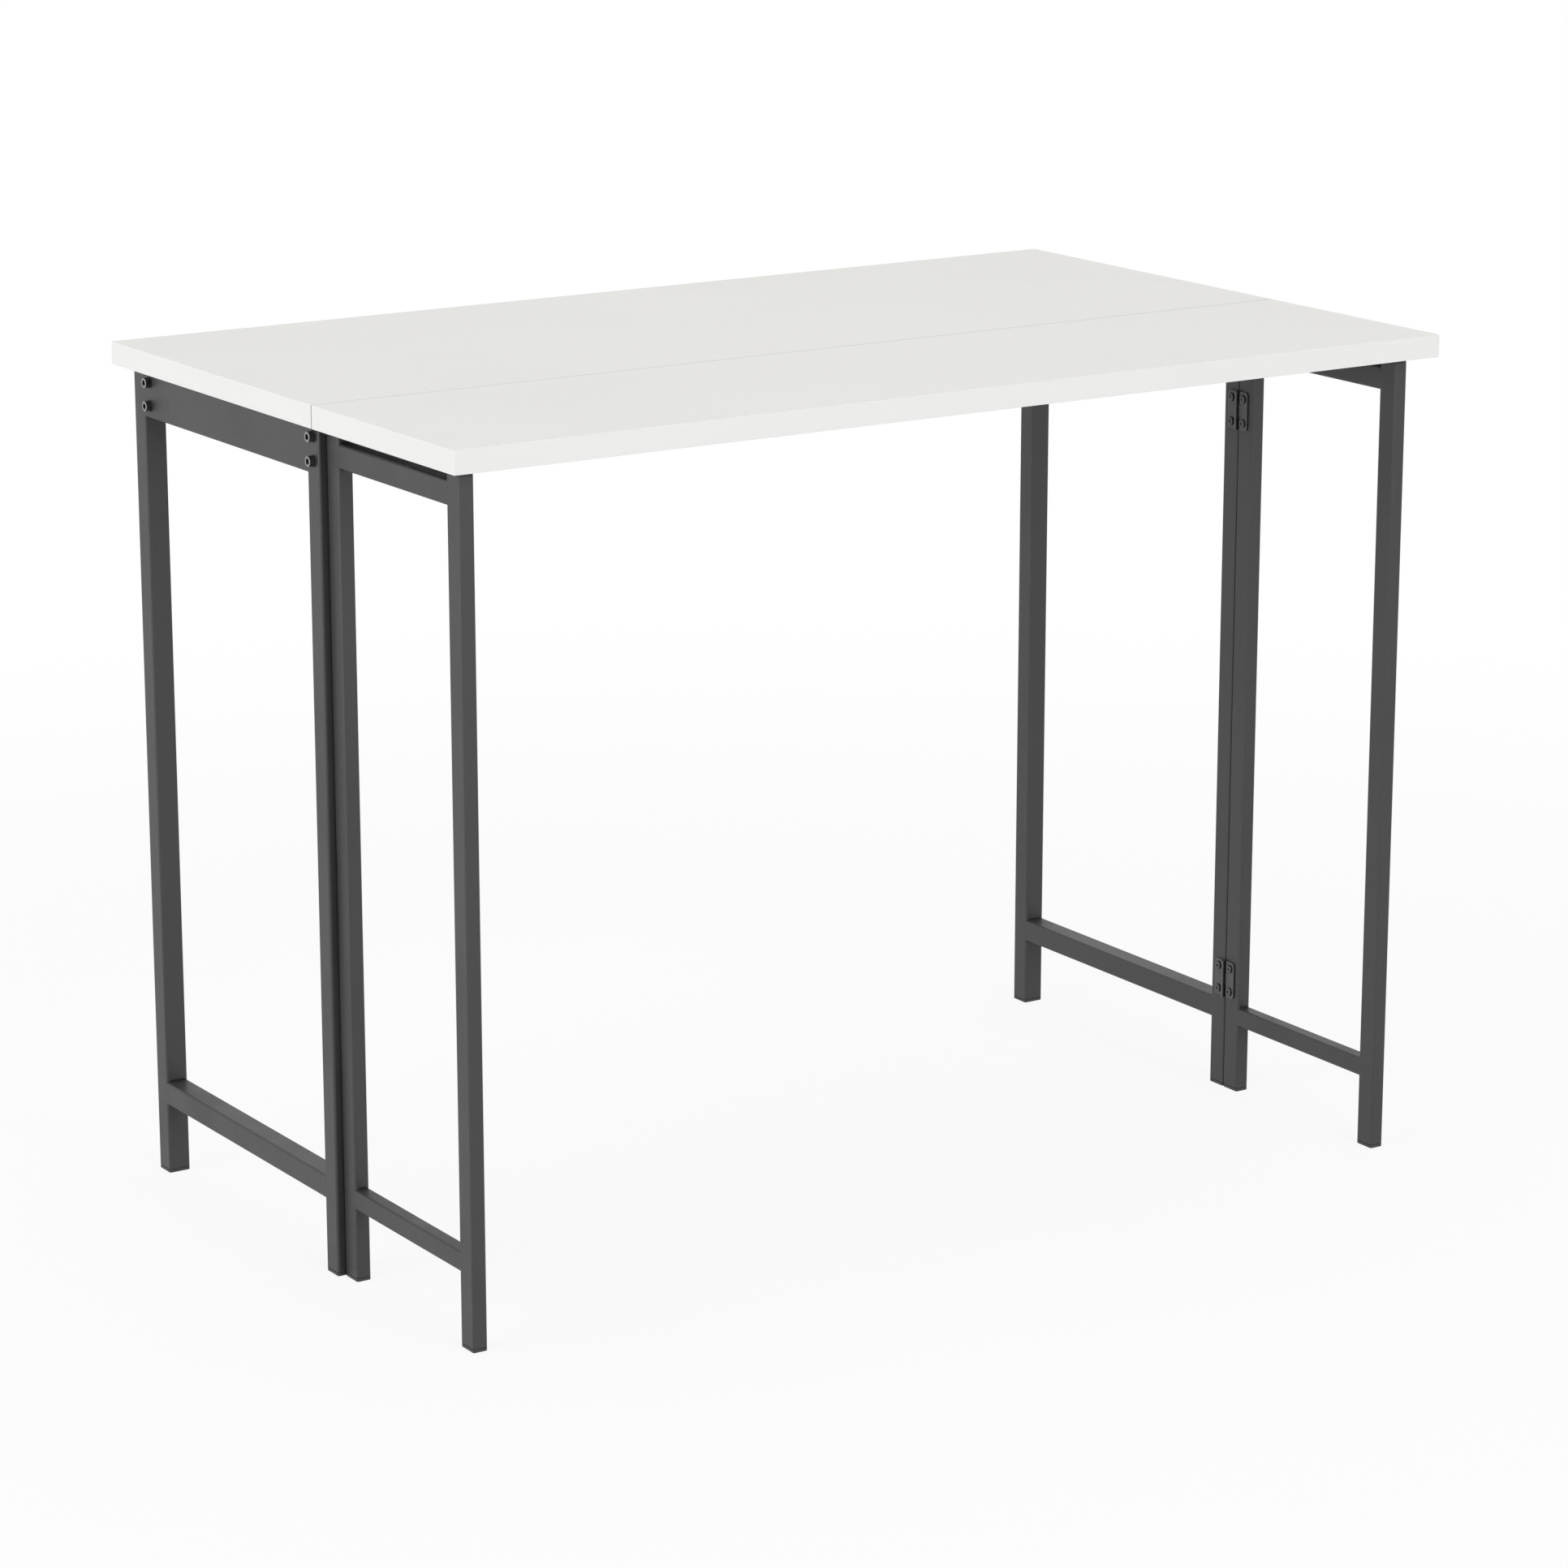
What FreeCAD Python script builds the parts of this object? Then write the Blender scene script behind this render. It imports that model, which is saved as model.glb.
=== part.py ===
"""Drop-leaf dining table: a white two-piece top on a tube frame with two swinging gates.

Millimetres, +Z up. The origin is on the floor under the middle of the opened top. +X runs along
the table to the right, and the hinged leaf is on the -Y side. Every piece of an end of the table is
built on the right and mirrored for the left.
"""
import FreeCAD
import Part

import os

from FreeCAD import Vector

# Top
TOP_LENGTH = 1000.0
TOP_DEPTH = 610.0
TABLE_HEIGHT = 760.0
TOP_THICKNESS = 20.0
LEAF_DEPTH = 236.6
SEAM_GAP = 0.8
EDGE_BAND = 1.0
EDGE_ROUND = 0.4

# Fixed end frames, of square tube
END_OVERHANG = 10.0
REAR_OVERHANG = 22.0
LEG_SETBACK = 7.4
LEG_SIZE = 20.5
LEG_CORNER = 2.0
STRETCHER_HEIGHT = 21.0
STRETCHER_LOW = 65.4
TUBE_WALL = 1.2
TUBE_INNER_CORNER = 0.4

# Tall tube of the aprons and of the long rails, which have tapped end plates
RAIL_WIDTH = 20.0
RAIL_HEIGHT = 41.4
END_PLATE = 4.0
END_PLATE_FIT = 0.1

# Bolts that hold the rails to the end frames
BOLT_RADIUS = 2.5
BOLT_CLEARANCE = 0.25
BOLT_TAP_FIT = 0.05
BOLT_HEAD_RADIUS = 4.5
BOLT_HEAD_HEIGHT = 4.4
BOLT_HEAD_ROUND = 0.3
BOLT_SOCKET_FLATS = 5.0
BOLT_SOCKET_DEPTH = 2.6
BOLT_TAIL = 3.0
BOLT_DROP = 20.0
BOLT_PITCH = 20.6
WASHER_LIP = 0.6
WASHER_THICKNESS = 1.0

# Gates, of flat tube
GATE_THICKNESS = 13.6
GATE_TUBE_WIDTH = 20.8
GATE_CORNER = 2.0
GATE_GAP = 0.5
GATE_RAIL_HEIGHT = 20.4
GATE_STRETCHER_HEIGHT = 17.5
LEAF_OVERHANG = 22.8

# Butt hinges between the fixed front legs and the gates
GATE_HINGE_HEIGHT = 36.0
GATE_HINGE_BELOW_RAIL = 21.3
GATE_HINGE_ABOVE_STRETCHER = 4.0
GATE_PLATE_WIDTH = 14.5
GATE_PLATE_THICKNESS = 1.2
GATE_PLATE_CORNER = 3.5
GATE_KNUCKLE_RADIUS = 2.2
GATE_KNUCKLE_SINK = 0.1
GATE_PIN_RADIUS = 1.2
GATE_SCREW_OFFSET = 8.4
GATE_SCREW_PITCH = 22.5
GATE_SCREW_RADIUS = 1.9
GATE_SCREW_LENGTH = 9.0
GATE_SCREW_HEAD_RADIUS = 3.9

# Cranked hinges under the seam
LEAF_HANG_CLEAR = 0.35
LEAF_HINGE_WIDTH = 30.0
LEAF_PLATE_THICKNESS = 1.0
LEAF_PLATE_CORNER = 4.0
LEAF_KNUCKLE_RADIUS = 2.0
LEAF_KNUCKLE_SINK = 0.1
LEAF_PIN_RADIUS = 1.0
LEAF_SCREW_MARGIN = 13.0
LEAF_PLATE_END = 10.0
LEAF_SCREW_PITCH = 16.0
PLATE_OVER_RAIL = 0.3

# Wood screws for the leaf hinges and for the top
WOOD_SCREW_RADIUS = 1.75
WOOD_SCREW_BITE = 12.0
WOOD_SCREW_HEAD_RADIUS = 3.4
TOP_SCREW_INSET = 70.0
TOP_SCREW_SPACING = 280.0
SCREW_ACCESS_CLEAR = 1.1

# Pan heads of all the screws, with a cross recess
PAN_HEAD_HEIGHT = 2.0
PAN_HEAD_ROUND = 1.2
RECESS_DEPTH = 1.1
RECESS_SPAN = 3.6
RECESS_SLOT = 0.8

# Fits shared by the hinges and the screws
PIN_RUNNING_FIT = 0.05
PIN_TIGHT_FIT = 0.02
KNUCKLE_PLAY = 0.3
KNUCKLE_CLEAR = 0.4
SCREW_FIT = 0.05
GATE_PASS_CLEAR = 0.4

# Plastic feet, caps and pads
FOOT_HEIGHT = 3.4
FOOT_ROUND = 0.5
PLUG_INSERT = 12.0
PLUG_FIT = 0.1
PLUG_GROOVE = 0.6
PLUG_GROOVE_DEPTH = 0.7
CAP_HEIGHT = 2.5
CAP_ROUND = 1.5
PAD_THICKNESS = 3.8
PAD_GAP = 0.3
PAD_MARGIN = 0.5

# Levels and lines worked out from the sizes above
UNDERSIDE = TABLE_HEIGHT - TOP_THICKNESS
FRONT_EDGE = -TOP_DEPTH / 2
REAR_EDGE = TOP_DEPTH / 2
END_X = TOP_LENGTH / 2
SEAM_Y = FRONT_EDGE + LEAF_DEPTH + SEAM_GAP / 2
FRAME_OUTER_X = END_X - END_OVERHANG
FRAME_INNER_X = FRAME_OUTER_X - LEG_SIZE
FRAME_MID_X = FRAME_OUTER_X - LEG_SIZE / 2
REAR_LEG_BACK = REAR_EDGE - REAR_OVERHANG
REAR_LEG_FRONT = REAR_LEG_BACK - LEG_SIZE
FRONT_LEG_FRONT = SEAM_Y + LEG_SETBACK
FRONT_LEG_BACK = FRONT_LEG_FRONT + LEG_SIZE
FRONT_RAIL_Y = FRONT_LEG_FRONT + RAIL_WIDTH / 2
REAR_RAIL_Y = REAR_LEG_FRONT - RAIL_WIDTH / 2
APRON_LOW = UNDERSIDE - RAIL_HEIGHT
FRONT_RAIL_TOP = UNDERSIDE - LEAF_PLATE_THICKNESS - PLATE_OVER_RAIL
FRONT_RAIL_LOW = FRONT_RAIL_TOP - RAIL_HEIGHT
STRETCHER_TOP = STRETCHER_LOW + STRETCHER_HEIGHT
BOLT_MIDDLE = UNDERSIDE - BOLT_DROP
BOLT_LEVELS = (BOLT_MIDDLE + BOLT_PITCH / 2, BOLT_MIDDLE - BOLT_PITCH / 2)
BOLT_HOLE_RADIUS = BOLT_RADIUS + BOLT_CLEARANCE
WASHER_RADIUS = BOLT_HEAD_RADIUS + WASHER_LIP
SCREW_ACCESS_RADIUS = WOOD_SCREW_HEAD_RADIUS + SCREW_ACCESS_CLEAR

# Gate lines: the pins stand just inside the flush inner faces, in the gap between the legs
GATE_BACK = FRONT_LEG_FRONT - GATE_GAP
GATE_FRONT = FRONT_EDGE + LEAF_OVERHANG
GATE_PIN_OFFSET = GATE_KNUCKLE_RADIUS - GATE_KNUCKLE_SINK
GATE_PIN_X = FRAME_INNER_X - GATE_PIN_OFFSET
GATE_PIN_Y = FRONT_LEG_FRONT - GATE_GAP / 2
GATE_HINGE_LEVELS = {
    "upper": FRONT_RAIL_LOW - GATE_HINGE_BELOW_RAIL - GATE_HINGE_HEIGHT / 2,
    "lower": STRETCHER_TOP + GATE_HINGE_ABOVE_STRETCHER + GATE_HINGE_HEIGHT / 2,
}
GATE_LEG_TOP = UNDERSIDE - PAD_THICKNESS - PAD_GAP - CAP_HEIGHT

# The lowered leaf and its hinge plates hang clear of the folded gates, which sets the pins' drop
GATE_FOLDED_REACH = GATE_GAP / 2 + GATE_PIN_OFFSET + GATE_THICKNESS - LEG_SETBACK
LEAF_PIN_DROP = GATE_FOLDED_REACH + LEAF_PLATE_THICKNESS + LEAF_HANG_CLEAR
LEAF_PIN_Z = UNDERSIDE - LEAF_PIN_DROP
LEAF_HINGE_X = GATE_PIN_X - (GATE_PIN_Y - GATE_FRONT) / 2
LEAF_SCREW_Y = LEG_SETBACK + RAIL_WIDTH + LEAF_SCREW_MARGIN
LEAF_PLATE_LENGTH = LEAF_SCREW_Y + LEAF_PLATE_END

# The gate's top rail passes under the knuckles of the leaf hinges
GATE_RAIL_TOP = LEAF_PIN_Z - LEAF_KNUCKLE_RADIUS - GATE_PASS_CLEAR

# A rounded edge takes less than half of its wall, and a rim less than its corner
FILLET_SHARE = 0.45
RIM_SHARE = 0.9
TOUCH = 0.01

ALONG_X = Vector(1, 0, 0)
ALONG_Y = Vector(0, 1, 0)
ALONG_Z = Vector(0, 0, 1)
ORIGIN = Vector(0, 0, 0)
QUARTER_TURN = 90


def block(x_span, y_span, z_span):
    """Box between two limits on each axis, given in either order."""
    low = Vector(min(x_span), min(y_span), min(z_span))
    high = Vector(max(x_span), max(y_span), max(z_span))
    size = high - low
    return Part.makeBox(size.x, size.y, size.z, low)


def rod(radius, start, direction, length):
    """Round bar from a point along a direction."""
    return Part.makeCylinder(radius, length, start, direction)


def edges_along(shape, direction):
    """Straight edges of a shape that run along a direction."""
    straight = [edge for edge in shape.Edges if isinstance(edge.Curve, Part.Line)]
    return [edge for edge in straight if abs(edge.Curve.Direction.dot(direction)) > 0.99]


def lies_at(low, high, level):
    """Whether an edge's limits on one axis are both at a level."""
    return abs(low - level) < TOUCH and abs(high - level) < TOUCH


def cut_all(shape, tools):
    """Shape less every tool, as one clean solid."""
    for tool in tools:
        shape = shape.cut(tool)
    return shape.removeSplitter()


def rounded_bar(x_span, y_span, z_span, direction, corner):
    """Box with the four long edges along a direction rounded."""
    bar = block(x_span, y_span, z_span)
    sides = [(x_span, ALONG_X), (y_span, ALONG_Y), (z_span, ALONG_Z)]
    narrowest = min(abs(span[1] - span[0]) for span, axis in sides if axis != direction)
    return bar.makeFillet(min(corner, FILLET_SHARE * narrowest), edges_along(bar, direction))


def shrink(span, margin):
    """Span with the same middle and a margin taken off each end."""
    return (min(span) + margin, max(span) - margin)


def tube(x_span, y_span, z_span, direction, corner):
    """Square or flat tube along a direction, open at both ends."""
    outer = rounded_bar(x_span, y_span, z_span, direction, corner)
    spans = []
    for span, axis in ((x_span, ALONG_X), (y_span, ALONG_Y), (z_span, ALONG_Z)):
        spans.append(span if axis == direction else shrink(span, TUBE_WALL))
    inner_corner = max(corner - TUBE_WALL, TUBE_INNER_CORNER)
    return outer.cut(rounded_bar(spans[0], spans[1], spans[2], direction, inner_corner))


def mirrored(shape):
    """Same piece at the other end of the table."""
    return shape.mirror(ORIGIN, ALONG_X)


def moved(shape, x, y, z):
    """Copy of a shape at another place."""
    copy = shape.copy()
    copy.translate(Vector(x, y, z))
    return copy


def both_ends(shapes):
    """A list of right-hand pieces with their left-hand mirror images."""
    return shapes + [mirrored(shape) for shape in shapes]


def pan_screw(head_radius, shank_radius, shank_length):
    """Cross-recess screw that points up from its seat at the origin, with its head below."""
    head_low = -PAN_HEAD_HEIGHT
    head = rod(head_radius, Vector(0, 0, head_low), ALONG_Z, PAN_HEAD_HEIGHT)
    rim = [edge for edge in head.Edges if lies_at(edge.BoundBox.ZMin, edge.BoundBox.ZMax, head_low)]
    head = head.makeFillet(min(PAN_HEAD_ROUND, RIM_SHARE * PAN_HEAD_HEIGHT), rim)
    long_span = (-RECESS_SPAN / 2, RECESS_SPAN / 2)
    short_span = (-RECESS_SLOT / 2, RECESS_SLOT / 2)
    depth = (head_low, head_low + RECESS_DEPTH)
    for x_span, y_span in ((long_span, short_span), (short_span, long_span)):
        head = head.cut(block(x_span, y_span, depth))
    return head.fuse(rod(shank_radius, ORIGIN, ALONG_Z, shank_length)).removeSplitter()


# Top

def banded_panel(y_span, pilot_holes):
    """Board with edging strips, as the core and a list of four strips."""
    x_span = (-END_X, END_X)
    z_span = (UNDERSIDE, TABLE_HEIGHT)
    whole = block(x_span, y_span, z_span)
    whole = whole.makeFillet(EDGE_ROUND, whole.Edges)
    core_x = shrink(x_span, EDGE_BAND)
    core_y = shrink(y_span, EDGE_BAND)
    core = whole.common(block(core_x, core_y, z_span))
    ring = whole.cut(core)
    strips = []
    for side_y in ((y_span[0], core_y[0]), (core_y[1], y_span[1])):
        strips.append(ring.common(block(x_span, side_y, z_span)))
    for side_x in ((x_span[0], core_x[0]), (core_x[1], x_span[1])):
        strips.append(ring.common(block(side_x, core_y, z_span)))
    return cut_all(core, pilot_holes), strips


def wood_screw(x, y, head_top):
    """Screw driven upwards, with its head under the level given."""
    length = UNDERSIDE + WOOD_SCREW_BITE - head_top
    return moved(pan_screw(WOOD_SCREW_HEAD_RADIUS, WOOD_SCREW_RADIUS, length), x, y, head_top)


def wood_screw_hole(x, y):
    """Pilot hole in the panel for a wood screw."""
    return rod(WOOD_SCREW_RADIUS + SCREW_FIT, Vector(x, y, UNDERSIDE), ALONG_Z, WOOD_SCREW_BITE)


def top_screw_places():
    """Where screws hold the panel: in each apron and along the rear rail."""
    places = []
    for x in (-FRAME_MID_X, FRAME_MID_X):
        places.append((x, FRONT_LEG_BACK + TOP_SCREW_INSET))
        places.append((x, REAR_LEG_FRONT - TOP_SCREW_INSET))
    for x in (-TOP_SCREW_SPACING, 0.0, TOP_SCREW_SPACING):
        places.append((x, REAR_RAIL_Y))
    return places


def screw_passage(x, y, tube_low):
    """Holes in a tube under the top: a clearance hole above and an access hole below."""
    length = 3 * TUBE_WALL
    upper_start = Vector(x, y, UNDERSIDE - 2 * TUBE_WALL)
    upper = rod(WOOD_SCREW_RADIUS + SCREW_FIT, upper_start, ALONG_Z, length)
    access = rod(SCREW_ACCESS_RADIUS, Vector(x, y, tube_low - TUBE_WALL), ALONG_Z, length)
    return [upper, access]


# Fixed end frames

def bolt_holes(y):
    """Clearance holes along X for one pair of bolts in the right end frame."""
    start = FRAME_INNER_X - LEG_SIZE
    return [rod(BOLT_HOLE_RADIUS, Vector(start, y, z), ALONG_X, 3 * LEG_SIZE) for z in BOLT_LEVELS]


def hinge_screw_places(y_side):
    """Points on the inner faces where hinge screws go, on one side of the gate pin."""
    y = GATE_PIN_Y + y_side * GATE_SCREW_OFFSET
    places = []
    for level in GATE_HINGE_LEVELS.values():
        for z in (level - GATE_SCREW_PITCH / 2, level + GATE_SCREW_PITCH / 2):
            places.append(Vector(FRAME_INNER_X, y, z))
    return places


def hinge_screw_holes(y_side):
    """Holes in the inner wall of a leg for the hinge screws."""
    back = Vector(-TUBE_WALL, 0, 0)
    radius = GATE_SCREW_RADIUS + SCREW_FIT
    return [rod(radius, place + back, ALONG_X, 3 * TUBE_WALL) for place in hinge_screw_places(y_side)]


def end_frame():
    """Tubes of the right end frame, by name."""
    x_span = (FRAME_INNER_X, FRAME_OUTER_X)
    leg_z = (FOOT_HEIGHT, UNDERSIDE)
    between = (FRONT_LEG_BACK, REAR_LEG_FRONT)
    rear_leg = tube(x_span, (REAR_LEG_FRONT, REAR_LEG_BACK), leg_z, ALONG_Z, LEG_CORNER)
    front_leg = tube(x_span, (FRONT_LEG_FRONT, FRONT_LEG_BACK), leg_z, ALONG_Z, LEG_CORNER)
    front_leg = cut_all(front_leg, bolt_holes(FRONT_RAIL_Y) + hinge_screw_holes(1))
    apron = tube(x_span, between, (APRON_LOW, UNDERSIDE), ALONG_Y, LEG_CORNER)
    passages = []
    for x, y in top_screw_places():
        if x == FRAME_MID_X:
            passages += screw_passage(x, y, APRON_LOW)
    apron = cut_all(apron, bolt_holes(REAR_RAIL_Y) + passages)
    stretcher = tube(x_span, between, (STRETCHER_LOW, STRETCHER_TOP), ALONG_Y, LEG_CORNER)
    return {"rear_leg": rear_leg, "front_leg": front_leg, "apron": apron, "stretcher": stretcher}


def plug(x_span, y_span, base, corner, flange, edge_round, upwards):
    """Plastic end plug: a flange, a neck that leaves a groove under the tube, and an insert inside it.

    The base is the level of the tube's end. The insert goes up from a foot and down from a cap.
    """
    way = 1 if upwards else -1
    outer_z = base - way * flange
    groove_z = base - way * PLUG_GROOVE
    body = rounded_bar(x_span, y_span, (groove_z, outer_z), ALONG_Z, corner)
    rim = [edge for edge in body.Edges if lies_at(edge.BoundBox.ZMin, edge.BoundBox.ZMax, outer_z)]
    rim_limit = RIM_SHARE * min(corner, flange - PLUG_GROOVE)
    body = body.makeFillet(min(edge_round, rim_limit), rim)
    neck_x = shrink(x_span, PLUG_GROOVE_DEPTH)
    neck_y = shrink(y_span, PLUG_GROOVE_DEPTH)
    neck_corner = max(corner - PLUG_GROOVE_DEPTH, TUBE_INNER_CORNER)
    neck = rounded_bar(neck_x, neck_y, (groove_z, base), ALONG_Z, neck_corner)
    margin = TUBE_WALL + PLUG_FIT
    inner_corner = max(corner - margin, TUBE_INNER_CORNER)
    insert_z = (base, base + way * PLUG_INSERT)
    insert = rounded_bar(shrink(x_span, margin), shrink(y_span, margin), insert_z, ALONG_Z, inner_corner)
    return body.fuse(neck).fuse(insert).removeSplitter()


def fixed_feet():
    """Feet of the right end frame."""
    x_span = (FRAME_INNER_X, FRAME_OUTER_X)
    feet = []
    for y_span in ((REAR_LEG_FRONT, REAR_LEG_BACK), (FRONT_LEG_FRONT, FRONT_LEG_BACK)):
        feet.append(plug(x_span, y_span, FOOT_HEIGHT, LEG_CORNER, FOOT_HEIGHT, FOOT_ROUND, True))
    return feet


# Long rails and their bolts

def long_rail(y, top, screw_places):
    """Rail between the inner faces of the end frames."""
    y_span = (y - RAIL_WIDTH / 2, y + RAIL_WIDTH / 2)
    low = top - RAIL_HEIGHT
    rail = tube((-FRAME_INNER_X, FRAME_INNER_X), y_span, (low, top), ALONG_X, LEG_CORNER)
    passages = []
    for place in screw_places:
        passages += screw_passage(place[0], place[1], low)
    return cut_all(rail, passages)


def end_plate(y, top):
    """Tapped plate inside the right end of a rail."""
    margin = TUBE_WALL + END_PLATE_FIT
    y_span = shrink((y - RAIL_WIDTH / 2, y + RAIL_WIDTH / 2), margin)
    z_span = shrink((top - RAIL_HEIGHT, top), margin)
    corner = max(LEG_CORNER - margin, TUBE_INNER_CORNER)
    plate = rounded_bar((FRAME_INNER_X - END_PLATE, FRAME_INNER_X), y_span, z_span, ALONG_X, corner)
    taps = []
    for z in BOLT_LEVELS:
        start = Vector(FRAME_INNER_X - 2 * END_PLATE, y, z)
        taps.append(rod(BOLT_RADIUS + BOLT_TAP_FIT, start, ALONG_X, 3 * END_PLATE))
    return cut_all(plate, taps)


def hex_socket(depth):
    """Hexagonal prism along X that ends at the origin, for a socket of the bolt's key size."""
    radius = BOLT_SOCKET_FLATS / 3 ** 0.5
    corner = Vector(-depth, 0, radius)
    turn = FreeCAD.Rotation(ALONG_X, 60)
    points = [corner]
    for _ in range(6):
        offset = turn.multVec(Vector(0, points[-1].y, points[-1].z))
        points.append(Vector(-depth, offset.y, offset.z))
    points[-1] = corner
    return Part.Face(Part.makePolygon(points)).extrude(Vector(depth, 0, 0))


def frame_bolt(y, z):
    """Socket head bolt through the right end frame into a rail's end plate."""
    seat = FRAME_OUTER_X + WASHER_THICKNESS
    head = rod(BOLT_HEAD_RADIUS, Vector(seat, y, z), ALONG_X, BOLT_HEAD_HEIGHT)
    end = seat + BOLT_HEAD_HEIGHT
    rim = [edge for edge in head.Edges if lies_at(edge.BoundBox.XMin, edge.BoundBox.XMax, end)]
    head = head.makeFillet(BOLT_HEAD_ROUND, rim)
    head = head.cut(moved(hex_socket(BOLT_SOCKET_DEPTH), end, y, z))
    tip = FRAME_INNER_X - END_PLATE - BOLT_TAIL
    shank = rod(BOLT_RADIUS, Vector(tip, y, z), ALONG_X, seat - tip)
    return head.fuse(shank).removeSplitter()


def bolt_washer(y, z):
    """Washer under a bolt head."""
    start = Vector(FRAME_OUTER_X, y, z)
    washer = rod(WASHER_RADIUS, start, ALONG_X, WASHER_THICKNESS)
    return washer.cut(rod(BOLT_HOLE_RADIUS, start, ALONG_X, WASHER_THICKNESS))


# Gates and their butt hinges

def knuckle_spans(length):
    """Three equal knuckles along a pin about its middle, with play between them."""
    third = length / 3
    play = KNUCKLE_PLAY / 2
    outer_low = (-length / 2, -third / 2 - play)
    middle = (-third / 2 + play, third / 2 - play)
    outer_high = (third / 2 + play, length / 2)
    return [outer_low, outer_high], [middle]


def gate_plate(y_side, own, other, pin_fit):
    """One half of a right-hand butt hinge about its pin at the origin, flat on the face at +X."""
    width = y_side * GATE_PLATE_WIDTH
    half = GATE_HINGE_HEIGHT / 2
    x_span = (GATE_PIN_OFFSET - GATE_PLATE_THICKNESS, GATE_PIN_OFFSET)
    plate = block(x_span, (0, width), (-half, half))
    outer = [e for e in edges_along(plate, ALONG_X) if lies_at(e.BoundBox.YMin, e.BoundBox.YMax, width)]
    plate = plate.makeFillet(GATE_PLATE_CORNER, outer)
    notch_y = (-y_side * GATE_KNUCKLE_RADIUS, y_side * (GATE_KNUCKLE_RADIUS + KNUCKLE_CLEAR))
    for span in other:
        notch_z = shrink(span, -KNUCKLE_PLAY)
        plate = plate.cut(block((-GATE_PIN_OFFSET, 2 * GATE_PIN_OFFSET), notch_y, notch_z))
    for low, high in own:
        plate = plate.fuse(rod(GATE_KNUCKLE_RADIUS, Vector(0, 0, low), ALONG_Z, high - low))
    holes = [rod(GATE_PIN_RADIUS + pin_fit, Vector(0, 0, -half), ALONG_Z, GATE_HINGE_HEIGHT)]
    for z in (-GATE_SCREW_PITCH / 2, GATE_SCREW_PITCH / 2):
        start = Vector(0, y_side * GATE_SCREW_OFFSET, z)
        holes.append(rod(GATE_SCREW_RADIUS + SCREW_FIT, start, ALONG_X, 2 * GATE_PIN_OFFSET))
    return cut_all(plate, holes)


def at_gate_hinges(prefix, shape, suffix):
    """Copies of a hinge piece at both hinges of the right gate, by name."""
    copies = {}
    for where, level in GATE_HINGE_LEVELS.items():
        copies[prefix + where + suffix] = moved(shape, GATE_PIN_X, GATE_PIN_Y, level)
    return copies


def hinge_screw(place):
    """Screw through a hinge plate into the inner wall of a right-hand leg."""
    screw = pan_screw(GATE_SCREW_HEAD_RADIUS, GATE_SCREW_RADIUS, GATE_SCREW_LENGTH)
    screw.rotate(ORIGIN, ALONG_Y, QUARTER_TURN)
    return moved(screw, place.x - GATE_PLATE_THICKNESS, place.y, place.z)


def gate():
    """Pieces of the right gate, by name. A list is a group of like pieces."""
    x_span = (FRAME_INNER_X, FRAME_INNER_X + GATE_THICKNESS)
    hinge_leg_y = (GATE_BACK - GATE_TUBE_WIDTH, GATE_BACK)
    outer_leg_y = (GATE_FRONT, GATE_FRONT + GATE_TUBE_WIDTH)
    between = (outer_leg_y[1], hinge_leg_y[0])
    leg_z = (FOOT_HEIGHT, GATE_LEG_TOP)
    hinge_leg = tube(x_span, hinge_leg_y, leg_z, ALONG_Z, GATE_CORNER)
    hinge_leg = cut_all(hinge_leg, hinge_screw_holes(-1))
    outer_leg = tube(x_span, outer_leg_y, leg_z, ALONG_Z, GATE_CORNER)
    rail_z = (GATE_RAIL_TOP - GATE_RAIL_HEIGHT, GATE_RAIL_TOP)
    top_rail = tube(x_span, between, rail_z, ALONG_Y, GATE_CORNER)
    stretcher_z = (STRETCHER_LOW, STRETCHER_LOW + GATE_STRETCHER_HEIGHT)
    stretcher = tube(x_span, between, stretcher_z, ALONG_Y, GATE_CORNER)
    feet = []
    caps = []
    for y_span in (hinge_leg_y, outer_leg_y):
        feet.append(plug(x_span, y_span, FOOT_HEIGHT, GATE_CORNER, FOOT_HEIGHT, FOOT_ROUND, True))
        caps.append(plug(x_span, y_span, GATE_LEG_TOP, GATE_CORNER, CAP_HEIGHT, CAP_ROUND, False))
    outer_knuckles, middle_knuckle = knuckle_spans(GATE_HINGE_HEIGHT)
    plate = gate_plate(-1, middle_knuckle, outer_knuckles, PIN_RUNNING_FIT)
    pieces = {
        "gate_hinge_leg": hinge_leg,
        "gate_outer_leg": outer_leg,
        "gate_top_rail": top_rail,
        "gate_stretcher": stretcher,
        "gate_feet": feet,
        "gate_caps": caps,
        "gate_hinge_screws": [hinge_screw(place) for place in hinge_screw_places(-1)],
    }
    pieces.update(at_gate_hinges("gate_", plate, "_hinge_plate"))
    return pieces


def fixed_hinges():
    """Fixed pieces of the right gate's hinges, by name."""
    outer_knuckles, middle_knuckle = knuckle_spans(GATE_HINGE_HEIGHT)
    plate = gate_plate(1, outer_knuckles, middle_knuckle, PIN_TIGHT_FIT)
    pin = rod(GATE_PIN_RADIUS, Vector(0, 0, -GATE_HINGE_HEIGHT / 2), ALONG_Z, GATE_HINGE_HEIGHT)
    pieces = {
        "hinge_pins": list(at_gate_hinges("", pin, "").values()),
        "hinge_fixed_screws": [hinge_screw(place) for place in hinge_screw_places(1)],
    }
    pieces.update(at_gate_hinges("", plate, "_hinge_fixed_plate"))
    return pieces


# Leaf hinges

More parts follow.
